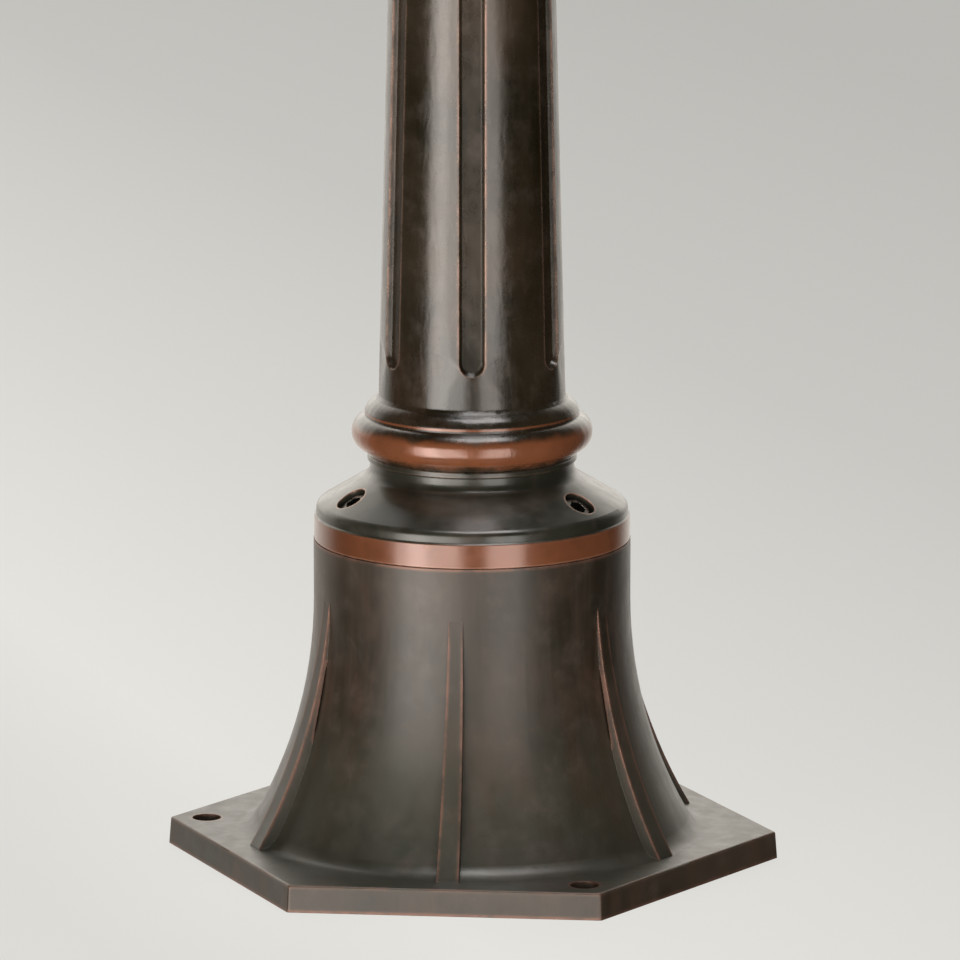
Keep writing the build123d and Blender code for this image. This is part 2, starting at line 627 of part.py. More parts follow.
def case_drum():
    half = drum_outline()
    ring = turned_polygon(half) + turned_polygon([(r, -z) for r, z in half])
    across = Pos(0, 0, CASE_Z) * Rot(90, 0, 0)
    drum = across * ring
    inner = across * extrude(Circle(CASE_R - CASE_WALL), CASE_HALF + 1, both=True)
    foot_z = UPPER_TOP_Z + CAPITAL_H
    foot = turned_polygon([
        (0, foot_z), (CASE_FOOT_R + 2, foot_z), (CASE_FOOT_R + 2, foot_z + 4),
        (CASE_FOOT_R, foot_z + 6), (CASE_FOOT_R, CASE_FLOOR_Z), (0, CASE_FLOOR_Z),
    ])
    boss = tube(CASE_BOSS_R, 0, CASE_Z + CASE_R - 10, CASE_BOSS_TOP)
    floor = Pos(0, 0, CASE_FLOOR_Z - 6) * Box(70, 60, 12)
    body = drum + (foot - inner) + (boss - inner) + (floor & inner)
    for x, v in CARRIER_SCREWS:
        outwards = 4.0 if v > 0 else -4.0
        lug = Pos(x, CARRIER_HALF + LUG_T / 2, CASE_Z + v + outwards) * Box(LUG_W, LUG_T, LUG_H)
        body = body + (lug & inner)
    body = body - tube(HEAD_STUD_R + SNUG, 0, foot_z - 1, CASE_FLOOR_Z + 1)
    body = body - tube(FINIAL_SHANK_R + SNUG, 0, CASE_BOSS_TOP - 16, CASE_BOSS_TOP + 1)
    carrier_hole = tube(CARRIER_SCREW_R + SNUG, 0, -CARRIER_HALF - 7, 1 - CARRIER_HALF)
    for place in carrier_screw_places():
        body = body - place * carrier_hole
    dial_hole = tube(DIAL_SHANK_R + SNUG, 0, DIAL_D - DIAL_LEDGE_T - 1, DIAL_D + 1)
    hinge_hole = Rot(0, 90, 0) * tube(HINGE_SHANK_R + SNUG, 0, -CASE_R - 10, 10 - CASE_R)
    slot = Pos(KNOB_X + STRIKE_REACH / 2, 0, CAM_D + CAM_T / 2) * Box(STRIKE_REACH, STRIKE_W, CAM_T + 2.4)
    for back in (False, True):
        side = dial_frame(back)
        for turn in dial_screw_turns():
            body = body - side * turn * dial_hole
        for v in HINGE_SCREWS:
            body = body - side * Pos(0, v, HINGE_SCREW_D) * hinge_hole
        body = body - side * slot
    return body


def dial_screw_turns():
    """Where the four dial screws sit on a side."""
    return [Rot(0, 0, 45 + 90 * i) * Pos(DIAL_SCREW_R, 0, 0) for i in range(4)]


def carrier_screw_places():
    """The carrier is screwed to the drum's lugs from the front."""
    return [dial_frame() * Pos(x, v, 0) for x, v in CARRIER_SCREWS]


def finial():
    """Turned foot, bead, ball and spike, with a shank in the drum's boss."""
    z0 = CASE_BOSS_TOP
    tip = FINIAL_TIP_Z
    shank = FINIAL_SHANK_R
    foot = [(0, z0 - 14), (shank, z0 - 14), (shank, z0), (23.0, z0), (23.0, z0 + 4.0), (20.0, z0 + 6.0)]
    scoop = [(20.0, z0 + 6.0), (10.5, z0 + 11.5), (8.0, z0 + 20.0)]
    low_bead = [(8.0, z0 + 20.0), (11.0, z0 + 21.5), (11.0, z0 + 24.0), (9.0, z0 + 25.5)]
    ball = [(9.0, z0 + 25.5), (17.5, z0 + 39.0), (9.0, z0 + 52.5)]
    high_bead = [(9.0, z0 + 52.5), (10.0, z0 + 53.5), (10.0, z0 + 56.0), (7.0, z0 + 57.5)]
    spike = [(7.0, z0 + 57.5), (3.6, z0 + 66.0), (1.6, tip)]
    outline = [
        Polyline(*rz(foot)),
        ThreePointArc(*rz(scoop)),
        Polyline(*rz(low_bead)),
        ThreePointArc(*rz(ball)),
        Polyline(*rz(high_bead)),
        ThreePointArc(*rz(spike)),
        Polyline(*rz([(1.6, tip), (0, tip), (0, z0 - 14)])),
    ]
    return turned(Curve() + outline)


# ---------------------------------------------------------------- gears
def involute(angle):
    return tan(angle) - angle


def tooth_points(teeth, module):
    """Corners of one tooth centred on angle 0, as (radius, angle), from root to root."""
    pitch_r = module * teeth / 2
    base_r = pitch_r * cos(PRESSURE_ANGLE)
    root_r = pitch_r - DEDENDUM * module
    tip_r = pitch_r + ADDENDUM * module
    half = pi / (2 * teeth) - BACKLASH / (4 * pitch_r)
    start_r = max(base_r, root_r)
    steps = 4
    flank = []
    for i in range(steps + 1):
        r = start_r + (tip_r - start_r) * i / steps
        flank.append((r, half + involute(PRESSURE_ANGLE) - involute(acos(min(1.0, base_r / r)))))
    if root_r < start_r - 1e-6:
        flank.insert(0, (root_r, flank[0][1]))
    return [(r, -a) for r, a in flank] + [(r, a) for r, a in reversed(flank)]


def gear_face(teeth, module, phase):
    points = []
    for k in range(teeth):
        for r, a in tooth_points(teeth, module):
            angle = phase + a + 2 * pi * k / teeth
            points.append((r * cos(angle), r * sin(angle)))
    return make_face(Polyline(*points, close=True))


def gear(teeth, module, phase, d0, d1, bore_r):
    face = gear_face(teeth, module, phase) - Circle(bore_r)
    return Pos(0, 0, d0) * extrude(face, d1 - d0)


def windows(r_in, r_out, d0, d1, count=5, spoke=5.0):
    """Openings that leave a wheel with spokes."""
    ring = tube(r_out, r_in, d0 - 1, d1 + 1)
    arm = Pos(r_out / 2, 0, (d0 + d1) / 2) * Box(r_out, spoke, 20)
    return ring - merged([turn * arm for turn in around(count, 180.0 / count)])


# ------------------------------------------------ one side of the clock, in its local frame
def minute_arbor():
    """Centre arbor, with its pivots in the carrier and the movement plate."""
    return (
        tube(PIVOT_R, 0, CARRIER_HALF - 2.2, 5.0) + tube(ARBOR_R, 0, 5.0, MINUTE_HAND_D)
        + tube(ARBOR_END_R, 0, MINUTE_HAND_D, ARBOR_END)
    )


def centre_wheel():
    wheel = gear(CENTRE_WHEEL_TEETH, DRIVE_MODULE, -pi / 2, 8.5, 11.0, ARBOR_R + FORCED)
    hub = tube(6.0, ARBOR_R + FORCED, 5.6, 8.5)
    return wheel - windows(8.0, 19.0, 8.5, 11.0) + hub


def cannon_pinion():
    return gear(CANNON_TEETH, CANNON_MODULE, 0.0, 31.0, 33.3, ARBOR_R + FORCED)


def intermediate_wheel():
    bore = PIVOT_R + RUNNING
    wheel_phase = pi + pi / MINUTE_WHEEL_TEETH
    wheel = gear(MINUTE_WHEEL_TEETH, CANNON_MODULE, wheel_phase, 31.1, 33.1, bore)
    wheel = wheel - windows(6.5, 14.5, 31.1, 33.1, spoke=3.6)
    pinion_phase = pi + pi / MINUTE_PINION_TEETH
    pinion = gear(MINUTE_PINION_TEETH, HOUR_MODULE, pinion_phase, 33.1, 36.4, bore)
    return Pos(MOTION_CENTRE, 0, 0) * (wheel + pinion)


def intermediate_stud():
    stud = tube(PIVOT_R, 0, PLATE_D, 36.7) + tube(2.6, 0, PLATE_D + PLATE_BACK_T, 31.0)
    return Pos(MOTION_CENTRE, 0, 0) * stud


def hour_wheel():
    wheel = gear(HOUR_WHEEL_TEETH, HOUR_MODULE, 0.0, 33.7, 36.1, ARBOR_R + 0.4)
    wheel = wheel - windows(8.0, 16.0, 33.7, 36.1, spoke=4.0)
    return wheel + tube(HOUR_TUBE_R, ARBOR_R + 0.4, 33.7, 44.2)


def hand_nut():
    bore = ARBOR_END_R + SNUG
    low = MINUTE_HAND_D + HAND_T
    return turned_polygon([(bore, low), (4.4, low), (4.4, low + 2.0), (3.4, low + 3.2), (bore, low + 3.6)])


def blade(low_half, low_v, high_half, high_v):
    """A flat tapering strip of a hand, given by its half widths at two heights."""
    corners = [(-low_half, low_v), (low_half, low_v), (high_half, high_v), (-high_half, high_v)]
    return make_face(Polyline(*corners, close=True))


def hand(outline, d, bore_r, hub_r, angle):
    shape = outline + Circle(hub_r) - Circle(bore_r)
    return Rot(0, 0, angle) * Pos(0, 0, d) * extrude(shape, HAND_T)


def hour_hand():
    """Spade hand with a pierced ring halfway along."""
    arm = blade(3.4, 0, 2.2, 48)
    spade = Pos(0, 54) * Circle(9.0)
    tip = blade(7.4, 59.2, 0.5, HOUR_HAND_L)
    ring = Pos(0, 30) * Circle(5.0)
    eye = Pos(0, 30) * Circle(1.8)
    tail = blade(2.4, 0, 4.0, -24)
    outline = arm + spade + tip + ring + tail - eye
    return hand(outline, HOUR_HAND_D, HOUR_TUBE_R + FORCED, 10.0, HOUR_HAND_ANGLE)


def minute_hand():
    arm = blade(3.0, 0, 1.7, 84)
    spade = Pos(0, 86) * Circle(6.4)
    tip = blade(5.2, 89.7, 0.4, MINUTE_HAND_L)
    tail = blade(2.0, 0, 4.4, -34)
    outline = arm + spade + tip + tail
    return hand(outline, MINUTE_HAND_D, ARBOR_END_R + SNUG, 7.0, MINUTE_HAND_ANGLE)


def dial():
    disc = tube(DIAL_R, DIAL_BORE_R, DIAL_D, DIAL_D + DIAL_T)
    hole = tube(DIAL_SHANK_R + 0.2, 0, DIAL_D - 1, DIAL_D + DIAL_T + 1)
    for turn in dial_screw_turns():
        disc = disc - turn * hole
    return disc


def dial_screws():
    front = DIAL_D + DIAL_T
    screw = tube(DIAL_SHANK_R, 0, DIAL_D - DIAL_LEDGE_T, front) + tube(2.9, 0, front, front + 1.6)
    screw = screw - Pos(0, 0, front + 1.6) * Box(7, 0.8, 1.4)
    return [turn * screw for turn in dial_screw_turns()]


def movement_plate():
    plate = Pos(0, -8, PLATE_D) * extrude(RectangleRounded(CARRIER_W, 112, 6), PLATE_BACK_T)
    low = PLATE_D - 1
    high = PLATE_D + PLATE_BACK_T + 1
    plate = plate - tube(ARBOR_R + RUNNING, 0, low, high)
    plate = plate - Pos(MOTION_CENTRE, 0, 0) * tube(PIVOT_R + FORCED, 0, low, high)
    for x, v in PILLARS:
        plate = plate - Pos(x, v, 0) * tube(PILLAR_SHANK_R + RUNNING, 0, low, high)
    return plate


def movement_pillars():
    front = PLATE_D + PLATE_BACK_T
    pillar = tube(3.2, 0, CARRIER_HALF, PLATE_D)
    shank = tube(PILLAR_SHANK_R, 0, PLATE_D, front)
    head = tube(3.0, 0, front, front + 1.6)
    return [Pos(x, v, 0) * (pillar + shank + head) for x, v in PILLARS]


def motor_case():
    """Synchronous motor on the back of the movement plate."""
    can = tube(MOTOR_R, 0, 14.0, PLATE_D)
    can = fillet(can.edges().sort_by(Axis.Z)[0], 1.2)
    can = can + tube(5.0, 0, 12.6, 14.0) - tube(PIVOT_R + RUNNING, 0, 12.0, 22.0)
    return Pos(0, -MOTOR_CENTRE, 0) * can


def motor_pinion():
    phase = pi / 2 + pi / MOTOR_PINION_TEETH
    pinion = gear(MOTOR_PINION_TEETH, DRIVE_MODULE, phase, 7.6, 11.8, PIVOT_R - 0.2)
    shaft = tube(PIVOT_R, 0, 7.6, 21.5)
    return Pos(0, -MOTOR_CENTRE, 0) * (pinion + shaft)


def bezel():
    """Hinged ring that holds the glass, with its knuckle."""
    land_in, land_out = BEZEL_LAND
    front = BEZEL_FRONT_D
    outline = [
        (GLASS_R + 0.3, BEZEL_BACK_D), (BEZEL_R, BEZEL_BACK_D), (BEZEL_R, front - 7.2),
        (BEZEL_R - 3.2, front - 6.2), (land_out, front - 1.0), (land_out, front), (land_in, front),
        (land_in - 3.0, front - 2.0), (BEZEL_IN_R + 0.6, front - 4.6), (BEZEL_IN_R, GLASS_D + GLASS_T),
        (GLASS_R + 0.3, GLASS_D + GLASS_T),
    ]
    radii = [0, 0.6, 1.2, 1.2, 0.3, 0.5, 0.8, 2.0, 0.8, 0, 0]
    body = turned_polygon(outline, radii)
    reach = BEZEL_R - 4
    tab = Pos((HINGE_X - reach) / 2, 0, HINGE_D - 1.5) * Box(-HINGE_X - reach, 2 * KNUCKLE_HALF, 5.0)
    body = body + (tab - tube(reach, 0, 0, 100)) + hinge_rod(KNUCKLE_R, KNUCKLE_HALF)
    body = body - hinge_rod(HINGE_PIN_R + RUNNING, KNUCKLE_HALF + 1)
    return body - Pos(KNOB_X, 0, 0) * tube(KNOB_SHANK_R + RUNNING, 0, BEZEL_BACK_D - 1, front + 1)


def hinge_rod(radius, half_length):
    """A rod on the hinge's axis."""
    return Pos(HINGE_X, 0, HINGE_D) * Rot(90, 0, 0) * extrude(Circle(radius), half_length, both=True)


def glass():
    return tube(GLASS_R, 0, GLASS_D, GLASS_D + GLASS_T)


def glass_ring():
    """Spring ring behind the glass."""
    return tube(GLASS_R + 0.2, BEZEL_IN_R + 2, BEZEL_BACK_D + 0.4, GLASS_D)


def door_seal():
    return tube(149.0, 146.0, CASE_HALF, BEZEL_BACK_D - 0.1)


def door_knob():
    """Knob whose shank goes through the bezel to the cam."""
    seat = BEZEL_FRONT_D
    outline = [
        (0, CAM_D), (KNOB_END_R, CAM_D), (KNOB_END_R, CAM_D + CAM_T), (KNOB_SHANK_R, CAM_D + CAM_T),
        (KNOB_SHANK_R, seat), (5.6, seat), (5.6, seat + 1.6), (3.2, seat + 3.0), (3.2, seat + 5.0),
        (6.8, seat + 7.0), (6.8, seat + 10.0), (3.6, seat + 12.0), (0, seat + 12.6),
    ]
    radii = [0, 0, 0, 0, 0, 0.3, 0.6, 0.8, 1.0, 1.6, 1.4, 2.0, 0]
    knob = turned_polygon(outline, radii)
    for turn in around(12):
        knob = knob - turn * Pos(7.3, 0, seat + 5.5) * extrude(Circle(0.9), 6.0)
    return Pos(KNOB_X, 0, 0) * knob


def latch_cam():
    """Tongue on the knob's shank. It hangs clear of the drum's strike slot until it is turned."""
    tongue = Pos(0, -CAM_REACH / 2) * Rectangle(CAM_W, CAM_REACH) + Circle(3.4) - Circle(KNOB_END_R + 0.01)
    return Pos(KNOB_X, 0, CAM_D) * extrude(tongue, CAM_T)


def hinge_leaf():
    """Cast leaf on the drum's side, with two knuckles."""
    back, foot = HINGE_X - 3.5, HINGE_SCREW_D - 7.0
    side = [
        (-CASE_R + 10, foot), (LEAF_X + 1.5, foot), (LEAF_X, foot + 1.5), (LEAF_X, foot + 15.0),
        (back, HINGE_D - 8.5), (back, HINGE_D), (HINGE_X + 3.5, HINGE_D), (HINGE_X + 3.5, CASE_HALF),
        (-CASE_R + 10, CASE_HALF),
    ]
    plan = make_face(Polyline(*[(x, 0, d) for x, d in side], close=True))
    body = extrude(plan, HINGE_HALF, both=True) + hinge_rod(KNUCKLE_R, HINGE_HALF)
    rim = turned_polygon([(0, CASE_HALF)] + [(r, d) for r, d in drum_outline() if r >= CASE_R] + [(0, 0)])
    gap = Pos(HINGE_X, 0, HINGE_D) * Box(30, 2 * KNUCKLE_HALF + 0.6, 2 * KNUCKLE_R + 2.5)
    body = body - rim - gap - hinge_rod(HINGE_PIN_R + FORCED, HINGE_HALF + 1)
    hole = Rot(0, 90, 0) * tube(HINGE_SHANK_R + 0.1, 0, LEAF_X - 1, LEAF_X + 19)
    for v in HINGE_SCREWS:
        body = body - Pos(0, v, HINGE_SCREW_D) * hole
    return body


def hinge_screws():
    screw = tube(HINGE_SHANK_R, 0, 0, -LEAF_X - CASE_R + 4.0) + tube(2.8, 0, -1.6, 0)
    screw = screw - Pos(0, 0, -1.6) * Box(7, 0.8, 1.6)
    return [Pos(LEAF_X, v, HINGE_SCREW_D) * Rot(0, 90, 0) * screw for v in HINGE_SCREWS]


def hinge_pin():
    cap = hinge_rod(3.4, 1)
    top_cap = Pos(0, HINGE_HALF + 1, 0) * cap
    low_cap = Pos(0, -HINGE_HALF - 1, 0) * cap
    return hinge_rod(HINGE_PIN_R, HINGE_HALF) + top_cap + low_cap


def battery():
    cell = tube(BATTERY_R, 0, -BATTERY_L / 2, BATTERY_L / 2 - 1.0) + tube(2.7, 0, -1, BATTERY_L / 2)
    return Pos(0, BATTERY_V, CARRIER_HALF + CLIP_FLOOR_T + BATTERY_R) * Rot(0, 90, 0) * cell


def battery_clip():
    """Open tray that holds one cell between two end walls."""
    width = 2 * BATTERY_R
    tray = Pos(0, BATTERY_V, CARRIER_HALF + CLIP_H / 2) * Box(BATTERY_L + 5.0, width + 4.0, CLIP_H)
    room_d = CARRIER_HALF + CLIP_FLOOR_T + CLIP_H / 2
    return tray - Pos(0, BATTERY_V, room_d) * Box(BATTERY_L + 0.2, width + 0.2, CLIP_H)


# ---------------------------------------------------------------- shared movement carrier
def movement_carrier():
    """Upright plate across the drum; both movements are built on it, back to back."""
    room_r = CASE_R - CASE_WALL
    plate = extrude(RectangleRounded(CARRIER_W, 2 * room_r - 9, 6), CARRIER_HALF, both=True)
    plate = plate & extrude(Circle(room_r - 0.4), 10, both=True)
    over_floor = Pos(0, -CASE_R + 6, 0) * Box(80, 13, 20)
    round_nut = Pos(0, -CASE_R + 14, 0) * Box(44, 30, 20)
    plate = plate - over_floor - round_nut
    pivot_hole = tube(PIVOT_R + RUNNING, 0, CARRIER_HALF - 2.4, CARRIER_HALF + 1)
    plate = plate - pivot_hole - Rot(0, 180, 0) * pivot_hole
    for x, v in CARRIER_SCREWS:
        plate = plate - Pos(x, v, 0) * tube(CARRIER_SCREW_R + 0.1, 0, -10, 10)
    return dial_frame() * plate


def carrier_screws():
    head_top = CARRIER_HALF + 2.2
    screw = tube(CARRIER_SCREW_R, 0, -9.0, CARRIER_HALF) + tube(3.6, 0, CARRIER_HALF, head_top)
    screw = screw - Pos(0, 0, head_top) * Box(9, 1.0, 1.6)
    return Compound([place * screw for place in carrier_screw_places()])


SIDE_PARTS = {
    "dial": dial,
    "minute_arbor": minute_arbor,
    "centre_wheel": centre_wheel,
    "cannon_pinion": cannon_pinion,
    "intermediate_wheel": intermediate_wheel,
    "hour_wheel": hour_wheel,
    "hour_hand": hour_hand,
    "minute_hand": minute_hand,
    "hand_nut": hand_nut,
    "movement_plate": movement_plate,
    "motor_case": motor_case,
    "motor_pinion": motor_pinion,
    "bezel": bezel,
    "glass": glass,
    "glass_ring": glass_ring,
    "door_knob": door_knob,
    "latch_cam": latch_cam,
    "hinge_leaf": hinge_leaf,
    "hinge_pin": hinge_pin,
}

# Small pieces that both sides have. Each kind is one node with a solid for every copy.
PAIRED_PARTS = {
    "dial_screws": dial_screws,
    "movement_pillars": movement_pillars,
    "hinge_screws": hinge_screws,
    "intermediate_studs": lambda: [intermediate_stud()],
    "door_seals": lambda: [door_seal()],
    "batteries": lambda: [battery()],
    "battery_clips": lambda: [battery_clip()],
}

POST_PARTS = {
    "base_casting": base_casting,
    "base_collar": base_collar,
    "collar_screws": collar_screws,
    "lower_shaft": lower_shaft,
    "shaft_lock_nut": shaft_lock_nut,
    "mid_collar": mid_collar,
    "set_screws": set_screws,
    "upper_shaft": upper_shaft,
    "capital": capital,
    "head_stud": head_stud,
    "head_nut": head_nut,
    "case_drum": case_drum,
    "movement_carrier": movement_carrier,
    "carrier_screws": carrier_screws,
    "finial": finial,
}


def main():
    for name, make in POST_PARTS.items():
        save(make(), name)
    for name, make in PAIRED_PARTS.items():
        save(Compound([dial_frame(back) * piece for back in (False, True) for piece in make()]), name)
    for side, back in (("front", False), ("back", True)):
        for name, make in SIDE_PARTS.items():
            save(dial_frame(back) * make(), side + "_" + name)


main()
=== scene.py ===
import json
import math

import bmesh
import bpy
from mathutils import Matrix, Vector


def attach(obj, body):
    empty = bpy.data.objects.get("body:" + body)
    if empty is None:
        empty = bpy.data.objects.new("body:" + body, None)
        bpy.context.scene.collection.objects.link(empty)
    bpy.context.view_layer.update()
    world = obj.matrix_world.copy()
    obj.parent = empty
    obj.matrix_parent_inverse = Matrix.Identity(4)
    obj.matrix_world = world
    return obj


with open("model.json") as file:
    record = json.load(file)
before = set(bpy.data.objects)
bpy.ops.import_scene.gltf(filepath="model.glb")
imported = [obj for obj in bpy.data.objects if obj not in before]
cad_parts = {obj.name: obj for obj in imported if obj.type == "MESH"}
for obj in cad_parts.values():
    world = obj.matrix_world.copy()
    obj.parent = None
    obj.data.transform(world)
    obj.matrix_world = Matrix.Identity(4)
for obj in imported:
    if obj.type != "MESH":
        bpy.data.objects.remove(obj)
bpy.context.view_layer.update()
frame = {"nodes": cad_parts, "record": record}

MM = 0.001
CASE_Z = 1667 * MM  # height of the dials' centre

# The camera's place was fitted to the hexagon of the base plate.
TILT = 0.2033  # it looks down by this angle, in radians
EYE_HEIGHT = 0.6718
EYE_DISTANCE = 2.656  # along the ground from the post's axis
EYE_TURN = math.radians(275.89)  # direction of the camera from the post
LENS = 311.925  # mm
SENSOR = 36  # mm
SHIFT = 0.00823  # in picture widths
NEAREST, FARTHEST = 0.1, 200  # what the camera sees

# ---------------------------------------------------------------- camera
eye = bpy.data.cameras.new("eye")
eye.sensor_width = SENSOR
eye.lens = LENS
eye.shift_x = SHIFT
eye.clip_start, eye.clip_end = NEAREST, FARTHEST
camera = bpy.data.objects.new("camera", eye)
bpy.context.scene.collection.objects.link(camera)
camera.location = (EYE_DISTANCE * math.cos(EYE_TURN), EYE_DISTANCE * math.sin(EYE_TURN), EYE_HEIGHT)
camera.rotation_euler = (math.pi / 2 - TILT, 0, EYE_TURN + math.pi / 2)
bpy.context.scene.camera = camera
bpy.context.scene.view_settings.view_transform = "Standard"


# ---------------------------------------------------------------- shader writing
AO_SAMPLES = 6
BEVEL_SAMPLES = 4
COLOUR_A, COLOUR_B, COLOUR_OUT = 6, 7, 2  # sockets of a Mix node that mixes colours
FLOAT_A, FLOAT_B, FLOAT_OUT = 2, 3, 0  # and of one that mixes numbers


class Shader:
    """A material's node tree, written one node at a time."""

    def __init__(self, name, tree=None):
        if tree is None:
            self.material = bpy.data.materials.new(name)
            self.material.use_nodes = True
            tree = self.material.node_tree
        self.tree = tree
        self.tree.nodes.clear()

    def node(self, kind, inputs=None, **settings):
        made = self.tree.nodes.new("ShaderNode" + kind)
        for key, value in settings.items():
            setattr(made, key, value)
        for key, value in (inputs or {}).items():
            self.put(made.inputs[key], value)
        return made

    def put(self, socket, value):
        if isinstance(value, bpy.types.NodeSocket):
            self.tree.links.new(value, socket)
        elif socket.type == "RGBA":
            socket.default_value = (*value, 1)
        else:
            socket.default_value = value

    def place(self, scale=(1, 1, 1)):
        coords = self.node("TexCoord").outputs["Object"]
        mapping = self.node("Mapping", {"Vector": coords})
        mapping.inputs["Scale"].default_value = scale
        return mapping.outputs["Vector"]

    def axis(self, name):
        coords = self.node("TexCoord").outputs["Object"]
        return self.node("SeparateXYZ", {"Vector": coords}).outputs[name]

    def noise(self, scale, detail=3.0, rough=0.55, stretch=(1, 1, 1), distortion=0.0):
        values = {
            "Vector": self.place(stretch), "Scale": scale, "Detail": detail,
            "Roughness": rough, "Distortion": distortion,
        }
        return self.node("TexNoise", values).outputs["Fac"]

    def math(self, operation, a, b=0.0, c=0.0):
        return self.node("Math", {0: a, 1: b, 2: c}, operation=operation).outputs[0]

    def ramp(self, value, low, high, to_low=0.0, to_high=1.0):
        """Smooth step from to_low to to_high while value goes from low to high."""
        values = {"Value": value, "From Min": low, "From Max": high, "To Min": to_low, "To Max": to_high}
        return self.node("MapRange", values, interpolation_type="SMOOTHSTEP").outputs["Result"]

    def ramp_linear(self, value, low, high):
        """0 to 1, evenly, while value goes from low to high."""
        values = {"Value": value, "From Min": low, "From Max": high}
        return self.node("MapRange", values).outputs["Result"]

    def band(self, value, low, high, soft):
        """1 between low and high, falling to 0 over soft on both sides."""
        rise = self.ramp(value, low - soft / 2, low + soft / 2)
        fall = self.ramp(value, high - soft / 2, high + soft / 2, 1.0, 0.0)
        return self.math("MULTIPLY", rise, fall)

    def mix(self, share, a, b):
        """a where share is 0 and b where it is 1, for colours."""
        made = self.node("Mix", {0: share, COLOUR_A: a, COLOUR_B: b}, data_type="RGBA")
        return made.outputs[COLOUR_OUT]

    def blend(self, share, a, b):
        """a where share is 0 and b where it is 1, for numbers."""
        made = self.node("Mix", {0: share, FLOAT_A: a, FLOAT_B: b}, data_type="FLOAT")
        return made.outputs[FLOAT_OUT]

    def rounded(self, radius):
        """The normal with sharp edges rounded to this radius."""
        return self.node("Bevel", {"Radius": radius}, samples=BEVEL_SAMPLES).outputs["Normal"]

    def bump(self, height, distance, normal=None):
        values = {"Height": height, "Distance": distance, "Strength": 1.0}
        if normal is not None:
            values["Normal"] = normal
        return self.node("Bump", values).outputs["Normal"]

    def near_edge(self, reach):
        """Rises towards 1 at outside edges within reach."""
        look = {"samples": AO_SAMPLES, "inside": True, "only_local": True}
        made = self.node("AmbientOcclusion", {"Distance": reach}, **look)
        return self.math("SUBTRACT", 1.0, made.outputs["AO"])

    def in_crease(self, reach):
        """Rises towards 1 in creases and recesses."""
        made = self.node("AmbientOcclusion", {"Distance": reach}, samples=AO_SAMPLES)
        return self.math("SUBTRACT", 1.0, made.outputs["AO"])

    def finish(self, fallback, **values):
        """Ends the tree in one surface. fallback is the plain colour that stands for the linked one."""
        inputs = {key.replace("_", " "): value for key, value in values.items()}
        shader = self.node("BsdfPrincipled", {}, distribution="MULTI_GGX")
        shader.inputs["Base Color"].default_value = (*fallback, 1)
        for key, value in inputs.items():
            self.put(shader.inputs[key], value)
        out = self.node("OutputMaterial")
        self.tree.links.new(shader.outputs[0], out.inputs["Surface"])
        return self.material


# ---------------------------------------------------------------- cast bronze finish
# The lacquer's tones, from the darkest to the bare metal on rubbed edges, whose pale tone also paints an
# edge highlight; then dust, and a painted shade for creases and recesses.
DARK = (0.019, 0.0135, 0.0055)
BROWN = (0.050, 0.034, 0.021)
OLIVE = (0.040, 0.041, 0.026)
RUSSET = (0.085, 0.043, 0.026)
COPPER = (0.185, 0.060, 0.024)
# rubbed-back metal on edges; its pale cream also stands for a painted edge highlight
WORN_AND_EDGE_HIGHLIGHT = (0.46, 0.25, 0.17)
DUST = (0.10, 0.072, 0.055)
# painted shade: the near-black that creases and recesses are darkened towards
PAINTED_CREASE_SHADE = (0.012, 0.009, 0.006)


